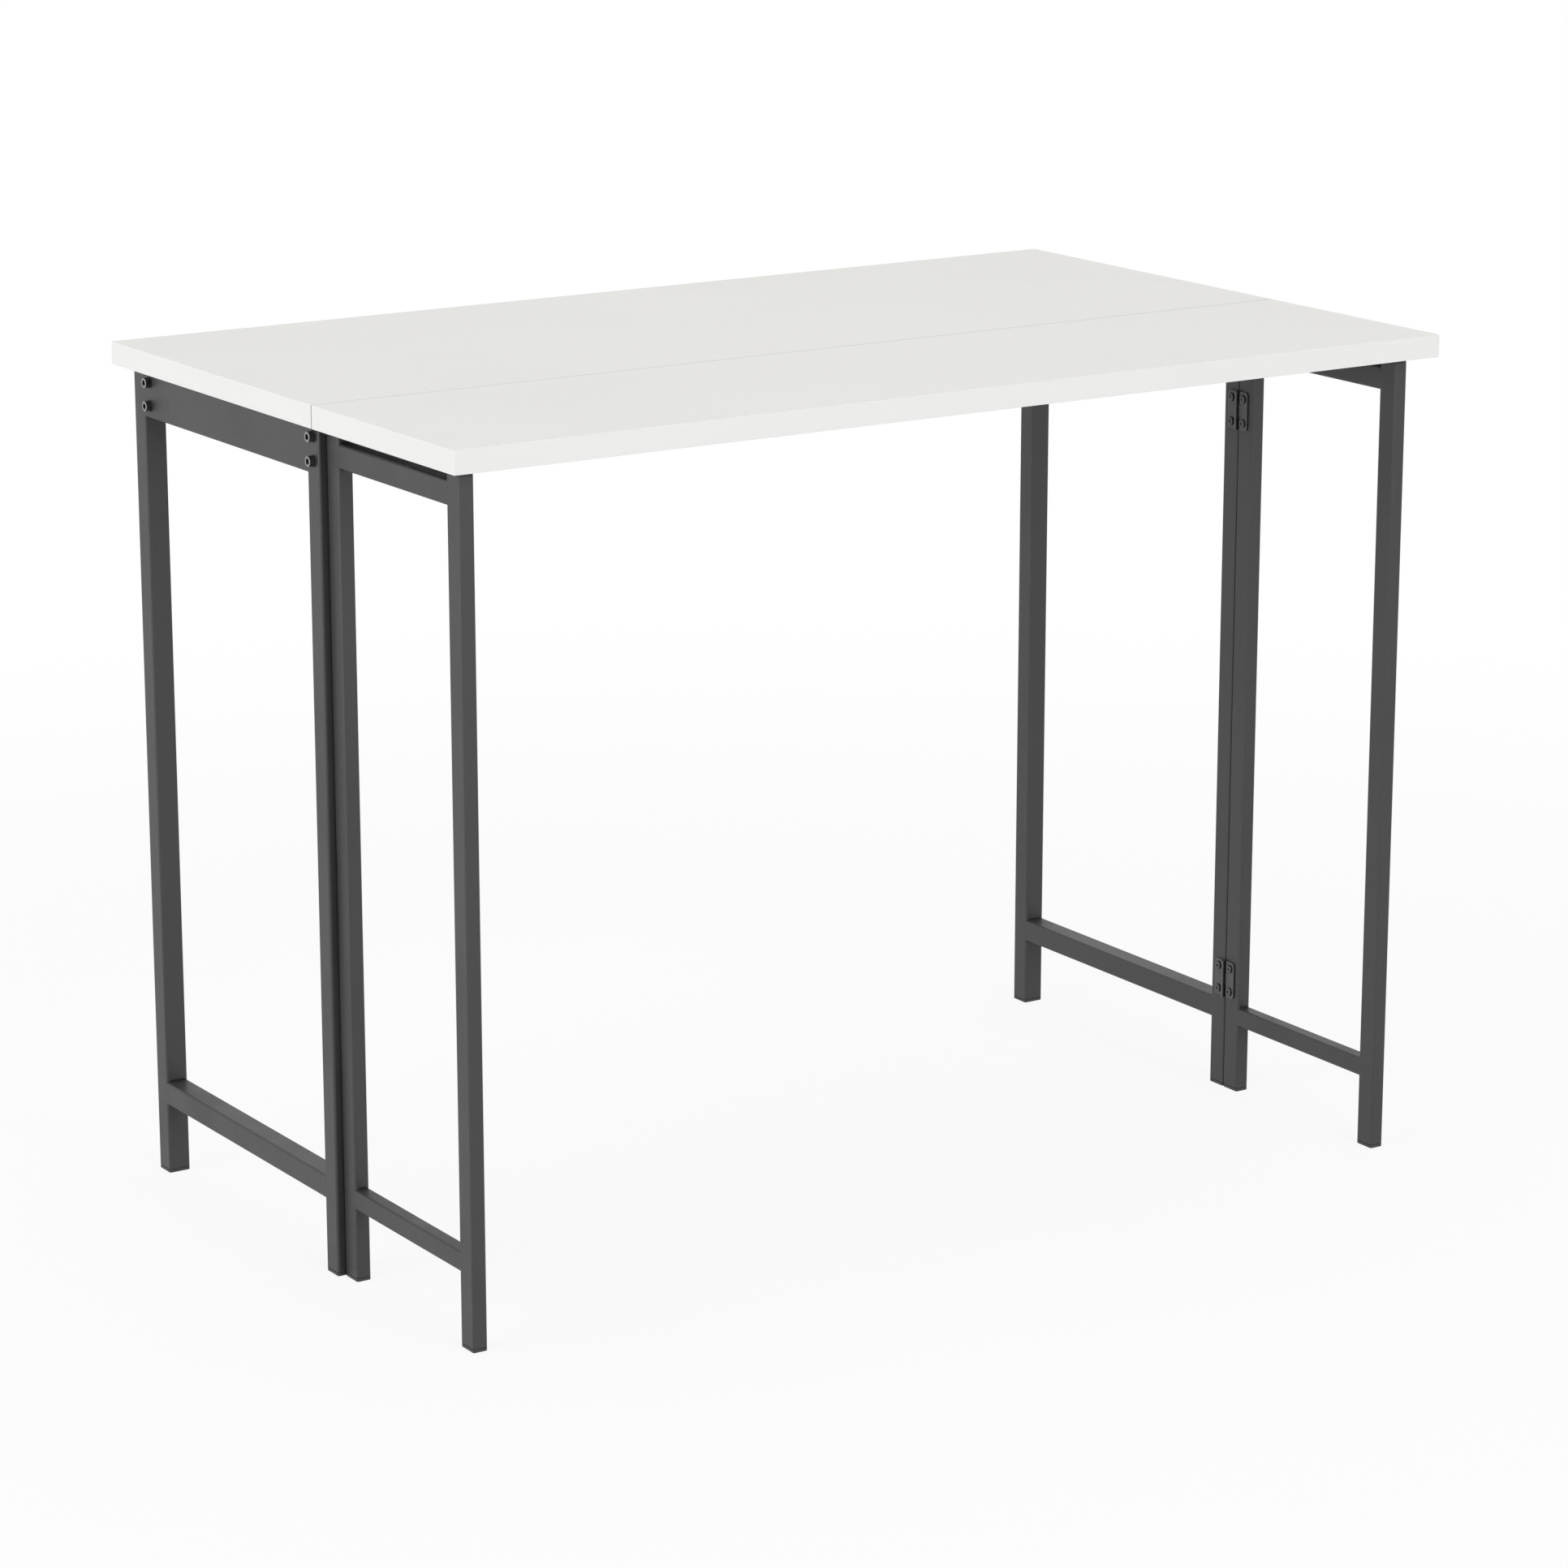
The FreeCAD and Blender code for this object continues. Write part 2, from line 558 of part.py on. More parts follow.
def leaf_plate(y_side, own, other, pin_fit):
    """One half of a cranked hinge about its pin at the origin, flat under the top."""
    half = LEAF_HINGE_WIDTH / 2
    web_outer = LEAF_KNUCKLE_RADIUS - LEAF_KNUCKLE_SINK
    web_inner = web_outer - LEAF_PLATE_THICKNESS
    flat_low = LEAF_PIN_DROP - LEAF_PLATE_THICKNESS
    end = y_side * LEAF_PLATE_LENGTH
    flat = block((-half, half), (y_side * web_inner, end), (flat_low, LEAF_PIN_DROP))
    outer = [e for e in edges_along(flat, ALONG_Z) if lies_at(e.BoundBox.YMin, e.BoundBox.YMax, end)]
    flat = flat.makeFillet(LEAF_PLATE_CORNER, outer)
    plate = flat.fuse(block((-half, half), (y_side * web_inner, y_side * web_outer), (0, LEAF_PIN_DROP)))
    notch_y = (y_side * web_outer * 2, 0)
    notch_z = (-LEAF_KNUCKLE_RADIUS, LEAF_KNUCKLE_RADIUS + KNUCKLE_CLEAR)
    for span in other:
        plate = plate.cut(block(shrink(span, -KNUCKLE_PLAY), notch_y, notch_z))
    for low, high in own:
        plate = plate.fuse(rod(LEAF_KNUCKLE_RADIUS, Vector(low, 0, 0), ALONG_X, high - low))
    holes = [rod(LEAF_PIN_RADIUS + pin_fit, Vector(-half, 0, 0), ALONG_X, LEAF_HINGE_WIDTH)]
    for x in (-LEAF_SCREW_PITCH / 2, LEAF_SCREW_PITCH / 2):
        start = Vector(x, y_side * LEAF_SCREW_Y, 0)
        holes.append(rod(WOOD_SCREW_RADIUS + SCREW_FIT, start, ALONG_Z, 2 * LEAF_PIN_DROP))
    return cut_all(plate, holes)


def at_leaf_hinges(shape):
    """Copies of a hinge piece at the three hinges under the seam."""
    return [moved(shape, x, SEAM_Y, LEAF_PIN_Z) for x in (-LEAF_HINGE_X, 0.0, LEAF_HINGE_X)]


def leaf_screw_places(y_side):
    """Where the leaf hinges' screws go, on one side of the seam."""
    places = []
    for middle in (-LEAF_HINGE_X, 0.0, LEAF_HINGE_X):
        for x in (middle - LEAF_SCREW_PITCH / 2, middle + LEAF_SCREW_PITCH / 2):
            places.append((x, SEAM_Y + y_side * LEAF_SCREW_Y))
    return places


def leaf_hinge_pieces():
    """Pieces of the three leaf hinges, by name."""
    outer_knuckles, middle_knuckle = knuckle_spans(LEAF_HINGE_WIDTH)
    main_plate = leaf_plate(1, outer_knuckles, middle_knuckle, PIN_TIGHT_FIT)
    moving_plate = leaf_plate(-1, middle_knuckle, outer_knuckles, PIN_RUNNING_FIT)
    pin = rod(LEAF_PIN_RADIUS, Vector(-LEAF_HINGE_WIDTH / 2, 0, 0), ALONG_X, LEAF_HINGE_WIDTH)
    head_top = UNDERSIDE - LEAF_PLATE_THICKNESS
    return {
        "leaf_hinge_main_plates": at_leaf_hinges(main_plate),
        "leaf_hinge_leaf_plates": at_leaf_hinges(moving_plate),
        "leaf_hinge_pins": at_leaf_hinges(pin),
        "leaf_hinge_main_screws": [wood_screw(x, y, head_top) for x, y in leaf_screw_places(1)],
        "leaf_hinge_leaf_screws": [wood_screw(x, y, head_top) for x, y in leaf_screw_places(-1)],
    }


def rest_pad():
    """Pad under the leaf where the right gate's outer leg stands."""
    x_span = shrink((FRAME_INNER_X, FRAME_INNER_X + GATE_THICKNESS), PAD_MARGIN)
    y_span = shrink((GATE_FRONT, GATE_FRONT + GATE_TUBE_WIDTH), PAD_MARGIN)
    return block(x_span, y_span, (UNDERSIDE - PAD_THICKNESS, UNDERSIDE))


def build():
    """Every piece of the table, by node name. A list is a group of like pieces."""
    screw_places = top_screw_places()
    rear_places = [place for place in screw_places if place[1] == REAR_RAIL_Y]
    main_holes = [wood_screw_hole(x, y) for x, y in screw_places + leaf_screw_places(1)]
    leaf_holes = [wood_screw_hole(x, y) for x, y in leaf_screw_places(-1)]
    main_panel, main_strips = banded_panel((SEAM_Y + SEAM_GAP / 2, REAR_EDGE), main_holes)
    leaf_panel, leaf_strips = banded_panel((FRONT_EDGE, SEAM_Y - SEAM_GAP / 2), leaf_holes)
    rails = ((FRONT_RAIL_Y, FRONT_RAIL_TOP), (REAR_RAIL_Y, UNDERSIDE))
    bolt_places = [(y, z) for y, _ in rails for z in BOLT_LEVELS]
    bolts = {
        "frame_bolts": [frame_bolt(y, z) for y, z in bolt_places],
        "bolt_washers": [bolt_washer(y, z) for y, z in bolt_places],
    }
    pieces = {
        "main_panel": main_panel,
        "main_edge_band": main_strips,
        "leaf_panel": leaf_panel,
        "leaf_edge_band": leaf_strips,
        "front_rail": long_rail(FRONT_RAIL_Y, FRONT_RAIL_TOP, []),
        "rear_rail": long_rail(REAR_RAIL_Y, UNDERSIDE, rear_places),
        "rail_end_plates": both_ends([end_plate(y, top) for y, top in rails]),
        "fixed_feet": both_ends(fixed_feet()),
        "top_screws": [wood_screw(x, y, UNDERSIDE - TUBE_WALL) for x, y in screw_places],
        "leaf_rest_pads": both_ends([rest_pad()]),
    }
    pieces.update(leaf_hinge_pieces())
    for group in (end_frame(), bolts, fixed_hinges(), gate()):
        for name, shape in group.items():
            pieces["right_" + name] = shape
            is_group = isinstance(shape, list)
            pieces["left_" + name] = [mirrored(one) for one in shape] if is_group else mirrored(shape)
    return pieces


def main():
    """Write each node to its own file."""
    os.makedirs("parts", exist_ok=True)
    for name, shape in build().items():
        solids = shape if isinstance(shape, list) else [shape]
        Part.makeCompound([one.Solids[0] for one in solids]).exportStep("parts/" + name + ".step")


if __name__ == "__main__":
    main()
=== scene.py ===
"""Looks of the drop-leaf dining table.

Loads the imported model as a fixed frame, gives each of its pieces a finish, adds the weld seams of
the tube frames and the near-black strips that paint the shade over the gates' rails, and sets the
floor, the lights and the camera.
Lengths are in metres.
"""

import logging
import math
from dataclasses import dataclass
from enum import Enum
from typing import ClassVar

import bmesh
import bpy
from mathutils import Euler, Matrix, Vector


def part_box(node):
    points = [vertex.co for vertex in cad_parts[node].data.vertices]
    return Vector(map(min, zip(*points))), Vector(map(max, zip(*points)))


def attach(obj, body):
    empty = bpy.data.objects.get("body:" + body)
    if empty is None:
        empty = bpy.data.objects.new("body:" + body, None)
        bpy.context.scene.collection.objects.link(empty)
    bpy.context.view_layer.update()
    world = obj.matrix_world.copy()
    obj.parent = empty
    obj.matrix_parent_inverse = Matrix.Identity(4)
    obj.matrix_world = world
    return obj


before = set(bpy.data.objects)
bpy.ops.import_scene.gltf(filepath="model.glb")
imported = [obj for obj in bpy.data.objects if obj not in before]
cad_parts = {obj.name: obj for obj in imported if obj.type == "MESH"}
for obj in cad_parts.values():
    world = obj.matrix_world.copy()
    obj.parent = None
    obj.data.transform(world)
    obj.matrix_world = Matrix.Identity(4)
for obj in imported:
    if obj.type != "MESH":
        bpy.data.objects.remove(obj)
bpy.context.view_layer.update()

Rgb = tuple[float, float, float]
Span = tuple[float, float]

LOG = logging.getLogger("drop_leaf_table")
SHARP_ANGLE = math.radians(40.0)
LEVEL_PITCH = 90.0
RISING: Span = (0.0, 1.0)
FALLING: Span = (1.0, 0.0)
WHITE: Rgb = (1.0, 1.0, 1.0)


class Slot(Enum):
    """Slots that the pieces take their finish from: the record's material slots, and the weld beads,
    whose darker coat is painted shade in the frame corners.
    """

    WHITE_BOARD = "white_board"
    WHITE_EDGING = "white_edging"
    GREY_TUBE = "grey_tube"
    SHADED_WELD_BEAD = "weld_bead"
    BLACK_PLASTIC = "black_plastic"
    BOLT_STEEL = "bolt_steel"
    HINGE_BLACK = "hinge_black"
    PLATED_STEEL = "plated_steel"
    PAD_RUBBER = "pad_rubber"


class Side(Enum):
    """Ends of the table."""

    LEFT = "left"
    RIGHT = "right"


class Effect(Enum):
    """Surface effects that several finishes share."""

    GRAIN = "fine_grain"
    DRIFT = "tone_drift"
    STREAKS = "drawn_streaks"
    MARKS = "handling_marks"


@dataclass(frozen=True)
class Layers:
    """Finer layers of a noise pattern: their number and their strength."""

    detail: float
    roughness: float


class Graph:
    """Short way to add and join nodes in one node tree."""

    def __init__(self, tree: bpy.types.NodeTree) -> None:
        """Takes the tree to work in."""
        self.tree = tree

    @classmethod
    def blank(cls, owner: bpy.types.Material | bpy.types.World) -> "Graph":
        """Starts the graph of a material or world with no nodes in it."""
        owner.use_nodes = True
        owner.node_tree.nodes.clear()
        return cls(owner.node_tree)

    def add(self, kind: str, **settings: object) -> bpy.types.Node:
        """Adds a node.

        Args:
            kind: Blender's name for the type of node.
            settings: properties of the node, by name.

        Returns:
            The new node.
        """
        node = self.tree.nodes.new(kind)
        for name, value in settings.items():
            setattr(node, name, value)
        return node

    def link(self, source: bpy.types.NodeSocket, target: bpy.types.NodeSocket) -> None:
        """Joins an output to an input."""
        self.tree.links.new(source, target)

    def coordinate(self, name: str) -> bpy.types.NodeSocket:
        """Gives one of the texture coordinates, by name."""
        return self.add("ShaderNodeTexCoord").outputs[name]

    def axes(self, name: str) -> bpy.types.NodeOutputs:
        """Gives the X, Y and Z of one of the texture coordinates, by name."""
        node = self.add("ShaderNodeSeparateXYZ")
        self.link(self.coordinate(name), node.inputs["Vector"])
        return node.outputs

    def noise(
        self,
        place: bpy.types.NodeSocket,
        layers: Layers,
        density: bpy.types.NodeSocket | None = None,
    ) -> bpy.types.NodeSocket:
        """Adds a noise pattern.

        Args:
            place: coordinates that the pattern reads.
            layers: finer layers of the pattern.
            density: scale of the pattern, where the place isn't scaled already.

        Returns:
            The socket with the pattern's value.
        """
        node = self.add("ShaderNodeTexNoise")
        node.inputs["Detail"].default_value = layers.detail
        node.inputs["Roughness"].default_value = layers.roughness
        node.inputs["Scale"].default_value = 1.0
        self.link(place, node.inputs["Vector"])
        if density is not None:
            self.link(density, node.inputs["Scale"])
        return node.outputs["Fac"]

    def math(
        self,
        operation: str,
        first: bpy.types.NodeSocket,
        second: bpy.types.NodeSocket | float = 0.0,
    ) -> bpy.types.NodeSocket:
        """Works out one sum.

        Args:
            operation: Blender's name for the sum.
            first: first operand.
            second: second operand, a socket or a number, where the sum has one.

        Returns:
            The socket with the result.
        """
        node = self.add("ShaderNodeMath", operation=operation)
        self.link(first, node.inputs[0])
        if isinstance(second, bpy.types.NodeSocket):
            self.link(second, node.inputs[1])
        else:
            node.inputs[1].default_value = second
        return node.outputs["Value"]

    def spread(self, value: bpy.types.NodeSocket, taken: Span, given: Span) -> bpy.types.NodeSocket:
        """Maps one range of values onto another.

        Args:
            value: value to map.
            taken: limits of the range that is read.
            given: limits of the range that is put out.

        Returns:
            The socket with the mapped value.
        """
        node = self.add("ShaderNodeMapRange", interpolation_type="SMOOTHSTEP")
        self.link(value, node.inputs["Value"])
        node.inputs["From Min"].default_value = taken[0]
        node.inputs["From Max"].default_value = taken[1]
        node.inputs["To Min"].default_value = given[0]
        node.inputs["To Max"].default_value = given[1]
        return node.outputs["Result"]

    def two_tones(self, mask: bpy.types.NodeSocket, light: Rgb, deep: Rgb) -> bpy.types.NodeSocket:
        """Mixes two tones of one colour by a mask.

        Args:
            mask: 0 for the light tone and 1 for the deep one.
            light: colour of the light tone.
            deep: colour of the deep tone.

        Returns:
            The socket with the mixed colour.
        """
        node = self.add("ShaderNodeMix", data_type="RGBA")
        self.link(mask, node.inputs["Factor"])
        colours = [socket for socket in node.inputs if socket.type == "RGBA"]
        colours[0].default_value = (*light, 1.0)
        colours[1].default_value = (*deep, 1.0)
        return next(socket for socket in node.outputs if socket.type == "RGBA")


class EffectShelf:
    """Node groups of the shared effects, each built once."""

    grain_layers: ClassVar[Layers] = Layers(detail=3.0, roughness=0.55)
    swell_layers: ClassVar[Layers] = Layers(detail=1.0, roughness=0.4)
    drift_layers: ClassVar[Layers] = Layers(detail=2.0, roughness=0.5)
    streak_layers: ClassVar[Layers] = Layers(detail=3.0, roughness=0.6)
    patch_layers: ClassVar[Layers] = Layers(detail=4.0, roughness=0.6)
    broken_layers: ClassVar[Layers] = Layers(detail=2.0, roughness=0.5)
    drift_range: ClassVar[Span] = (0.3, 0.7)
    patch_range: ClassVar[Span] = (0.42, 0.66)
    broken_range: ClassVar[Span] = (0.25, 0.75)
    broken_share: ClassVar[Span] = (0.4, 1.0)

    def __init__(self) -> None:
        """Builds the groups."""
        self.groups = {
            Effect.GRAIN: self._grain(),
            Effect.DRIFT: self._drift(),
            Effect.STREAKS: self._streaks(),
            Effect.MARKS: self._marks(),
        }

    def place(self, graph: Graph, effect: Effect, **values: float) -> bpy.types.NodeSocket:
        """Puts an effect in a material.

        Args:
            graph: graph of the material.
            effect: effect to place.
            values: the material's own values for the group's inputs, by name.

        Returns:
            The socket with the effect's value.
        """
        node = graph.add("ShaderNodeGroup")
        node.node_tree = self.groups[effect]
        for name, value in values.items():
            node.inputs[name].default_value = value
        return node.outputs["Value"]

    @staticmethod
    def _start(
        effect: Effect, *inputs: str
    ) -> tuple[Graph, bpy.types.NodeOutputs, bpy.types.NodeSocket, bpy.types.NodeSocket]:
        """Starts a group with named number inputs and one value output.

        Args:
            effect: effect that names the group.
            inputs: names of the inputs.

        Returns:
            The graph, the values that go in, the socket that puts the result out, and the piece's
            own coordinates.
        """
        tree = bpy.data.node_groups.new(effect.value, "ShaderNodeTree")
        for name in inputs:
            tree.interface.new_socket(name=name, in_out="INPUT", socket_type="NodeSocketFloat")
        tree.interface.new_socket(name="Value", in_out="OUTPUT", socket_type="NodeSocketFloat")
        graph = Graph(tree)
        entry = graph.add("NodeGroupInput").outputs
        leave = graph.add("NodeGroupOutput").inputs["Value"]
        return graph, entry, leave, graph.coordinate("Object")

    def _grain(self) -> bpy.types.NodeTree:
        """Even grain with a softer swell under it, as on powder coat or moulded plastic."""
        graph, entry, leave, place = self._start(Effect.GRAIN, "Density", "Swell", "Share")
        fine = graph.noise(place, self.grain_layers, entry["Density"])
        swell = graph.noise(place, self.swell_layers, entry["Swell"])
        share = graph.math("MULTIPLY", swell, entry["Share"])
        graph.link(graph.math("ADD", fine, share), leave)
        return graph.tree

    def _drift(self) -> bpy.types.NodeTree:
        """Slow change of tone over a large piece."""
        graph, entry, leave, place = self._start(Effect.DRIFT, "Density")
        slow = graph.noise(place, self.drift_layers, entry["Density"])
        graph.link(graph.spread(slow, self.drift_range, RISING), leave)
        return graph.tree

    def _streaks(self) -> bpy.types.NodeTree:
        """Lines left by drawing, rolling or extruding, finer across than along."""
        graph, entry, leave, place = self._start(Effect.STREAKS, "X", "Y", "Z")
        scale = graph.add("ShaderNodeCombineXYZ")
        for axis in "XYZ":
            graph.link(entry[axis], scale.inputs[axis])
        stretch = graph.add("ShaderNodeVectorMath", operation="MULTIPLY")
        graph.link(place, stretch.inputs[0])
        graph.link(scale.outputs["Vector"], stretch.inputs[1])
        graph.link(graph.noise(stretch.outputs["Vector"], self.streak_layers), leave)
        return graph.tree

    def _marks(self) -> bpy.types.NodeTree:
        """Faint patches where hands and cloths have dulled or polished a surface."""
        graph, entry, leave, place = self._start(Effect.MARKS, "Density", "Fine")
        patch = graph.noise(place, self.patch_layers, entry["Density"])
        fine = graph.noise(place, self.broken_layers, entry["Fine"])
        area = graph.spread(patch, self.patch_range, RISING)
        broken = graph.spread(fine, self.broken_range, self.broken_share)
        graph.link(graph.math("MULTIPLY", area, broken), leave)
        return graph.tree


@dataclass(frozen=True)
class Look:
    """Values that vary a finish over its surface, each about 0 to 1."""

    tone: bpy.types.NodeSocket
    gloss: bpy.types.NodeSocket
    height: bpy.types.NodeSocket
    metal: bpy.types.NodeSocket | None = None


@dataclass(frozen=True)
class Finish:
    """Colours, gloss and relief of one finish. Each kind of finish gives its own look."""

    slot: Slot
    name: str
    light: Rgb
    deep: Rgb
    smooth: float
    rough: float
    relief: float
    metallic: float = 0.0
    specular: float = 0.5

    def look(self, graph: Graph, shelf: EffectShelf) -> Look:
        """Places the effects of this kind of finish.

        Args:
            graph: graph of the material.
            shelf: shared effects.

        Returns:
            The values that vary the finish.
        """
        raise NotImplementedError

    def material(self, shelf: EffectShelf) -> bpy.types.Material:
        """Builds the material.

        Args:
            shelf: shared effects.

        Returns:
            The finished material.
        """
        material = bpy.data.materials.new(self.name)
        graph = Graph.blank(material)
        shader = graph.add("ShaderNodeBsdfPrincipled")
        output = graph.add("ShaderNodeOutputMaterial")
        graph.link(shader.outputs["BSDF"], output.inputs["Surface"])
        shader.inputs["Metallic"].default_value = self.metallic
        shader.inputs["Specular IOR Level"].default_value = self.specular
        look = self.look(graph, shelf)
        if look.metal is not None:
            graph.link(look.metal, shader.inputs["Metallic"])
        graph.link(graph.two_tones(look.tone, self.light, self.deep), shader.inputs["Base Color"])
        gloss = graph.spread(look.gloss, RISING, (self.smooth, self.rough))
        graph.link(gloss, shader.inputs["Roughness"])
        bump = graph.add("ShaderNodeBump")
        bump.inputs["Distance"].default_value = self.relief
        graph.link(look.height, bump.inputs["Height"])
        graph.link(bump.outputs["Normal"], shader.inputs["Normal"])
        return material


@dataclass(frozen=True)
class FacedBoard(Finish):
    """White melamine facing: a fine pearl in the press plate and hardly any change of tone."""

    pearl: float = 1500.0
    swell: float = 420.0
    swell_share: float = 0.6
    drift: float = 2.2
    marks: float = 5.0
    fine_marks: float = 260.0

    def look(self, graph: Graph, shelf: EffectShelf) -> Look:
        """Places the pearl, the slow change of tone and the wiped patches."""
        pearl = shelf.place(
            graph, Effect.GRAIN, Density=self.pearl, Swell=self.swell, Share=self.swell_share
        )
        drift = shelf.place(graph, Effect.DRIFT, Density=self.drift)
        marks = shelf.place(graph, Effect.MARKS, Density=self.marks, Fine=self.fine_marks)
        return Look(tone=drift, gloss=marks, height=pearl)


@dataclass(frozen=True)
class EdgingStrip(Finish):
    """Extruded edging strip with faint lines along it, with painted shade where the two panels meet."""

    across: float = 1600.0
    along: float = 9.0
    drift: float = 3.0
    drift_share: float = 0.04
    seam_shade_reach: Span = (0.0005, 0.0009)

    def look(self, graph: Graph, shelf: EffectShelf) -> Look:
        """Places the extruded lines, a slow change of tone and the painted shade of the seam."""
        # Painted shade: the edging within about a millimetre of the seam takes the deep tone, in place
        # of the shade inside the gap.
        seam = 0.5 * (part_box("leaf_edge_band")[1].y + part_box("main_edge_band")[0].y)
        offset = graph.math("SUBTRACT", graph.axes("Object")["Y"], seam)
        seam_shade = graph.spread(graph.math("ABSOLUTE", offset), self.seam_shade_reach, FALLING)
        lines = shelf.place(graph, Effect.STREAKS, X=self.along, Y=self.along, Z=self.across)
        drift = shelf.place(graph, Effect.DRIFT, Density=self.drift)
        faint = graph.math("MULTIPLY", drift, self.drift_share)
        return Look(tone=graph.math("MAXIMUM", seam_shade, faint), gloss=lines, height=lines)


@dataclass(frozen=True)
class PowderCoat(Finish):
    """Baked powder paint: orange peel with a fine sparkle in the gloss."""

    grain: float = 1900.0
    peel: float = 330.0
    peel_share: float = 2.2
    drift: float = 7.0
    marks: float = 9.0
    fine_marks: float = 900.0

    def look(self, graph: Graph, shelf: EffectShelf) -> Look:
        """Places the orange peel, the change of tone and the handled patches."""
        peel = shelf.place(
            graph, Effect.GRAIN, Density=self.grain, Swell=self.peel, Share=self.peel_share
        )
        drift = shelf.place(graph, Effect.DRIFT, Density=self.drift)
        marks = shelf.place(graph, Effect.MARKS, Density=self.marks, Fine=self.fine_marks)
        return Look(tone=drift, gloss=marks, height=peel)


@dataclass(frozen=True)
class MouldedSkin(Finish):
    """Moulded plastic or rubber with a spark-eroded grain."""

    grain: float = 2300.0
    swell: float = 500.0
    swell_share: float = 0.3
    scuffs: float = 60.0
    fine_scuffs: float = 1400.0

    def look(self, graph: Graph, shelf: EffectShelf) -> Look:
        """Places the grain and the scuffed patches."""
        grain = shelf.place(
            graph, Effect.GRAIN, Density=self.grain, Swell=self.swell, Share=self.swell_share
        )
        scuffs = shelf.place(graph, Effect.MARKS, Density=self.scuffs, Fine=self.fine_scuffs)
        return Look(tone=scuffs, gloss=scuffs, height=grain)


@dataclass(frozen=True)
class WorkedSteel(Finish):
    """Drawn or rolled steel with fine lines, plated, coated or blackened in uneven patches."""

    lines_x: float = 120.0
    lines_y: float = 2600.0
    lines_z: float = 120.0
    patches: float = 140.0
    fine_patches: float = 1200.0

    def lines(self, graph: Graph, shelf: EffectShelf) -> bpy.types.NodeSocket:
        """Places the drawn or rolled lines."""
        return shelf.place(graph, Effect.STREAKS, X=self.lines_x, Y=self.lines_y, Z=self.lines_z)

    def uneven(self, graph: Graph, shelf: EffectShelf) -> bpy.types.NodeSocket:
        """Places the uneven patches."""
        return shelf.place(graph, Effect.MARKS, Density=self.patches, Fine=self.fine_patches)

    def look(self, graph: Graph, shelf: EffectShelf) -> Look:
        """Places the drawn lines and the uneven plating."""
        lines = self.lines(graph, shelf)
        return Look(tone=self.uneven(graph, shelf), gloss=lines, height=lines)


@dataclass(frozen=True)
class BlackedBolt(WorkedSteel):
    """Black oxide on a turned bolt, rubbed down to the steel on the end of its head."""

    lines_x: float = 2600.0
    lines_y: float = 300.0
    lines_z: float = 300.0
    bare_depth: float = 0.0003
    bare_metal: float = 0.75
    oxide_share: Span = (0.92, 1.0)

    def look(self, graph: Graph, shelf: EffectShelf) -> Look:
        """Places the bare end, the turned lines and the uneven oxide."""
        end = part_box("right_frame_bolts")[1].x
        rim = (end - self.bare_depth, end)
        reach = graph.math("ABSOLUTE", graph.axes("Object")["X"])
        black = graph.spread(reach, rim, FALLING)
        metal = graph.spread(reach, rim, (0.0, self.bare_metal))
        lines = self.lines(graph, shelf)
        oxide = graph.spread(self.uneven(graph, shelf), RISING, self.oxide_share)
        return Look(tone=graph.math("MULTIPLY", black, oxide), gloss=lines, height=lines, metal=metal)


@dataclass(frozen=True)
class HingeCoat(WorkedSteel):
    """Thin black coat on a pressed hinge, with faint rubbed patches, and painted light and shade by
    facing:
    faces that look along X are lighter, a painted sheen; edges, the barrel's sides and faces that look
    to the front are black, painted shade.
    """

    lines_x: float = 300.0
    lines_y: float = 300.0
    lines_z: float = 2200.0
    flat: Span = (0.40, 0.75)
    front: Span = (-0.78, -0.48)
    patch_share: float = 0.12

    def look(self, graph: Graph, shelf: EffectShelf) -> Look:
        """Places the painted sheen and shade by facing, the rolled lines and the rubbed patches."""
        # Painted light and shade: faces that look along X keep the light tone; edges, the barrel's
        # sides and faces that look to the front take the deep tone.
        facing = graph.axes("Normal")
        edges = graph.spread(graph.math("ABSOLUTE", facing["X"]), self.flat, FALLING)
        front_shade = graph.spread(facing["Y"], self.front, FALLING)
        painted_shade = graph.math("MAXIMUM", edges, front_shade)
        lines = self.lines(graph, shelf)
        rubbed = graph.math("MULTIPLY", self.uneven(graph, shelf), self.patch_share)
        return Look(tone=graph.math("MAXIMUM", painted_shade, rubbed), gloss=lines, height=lines)


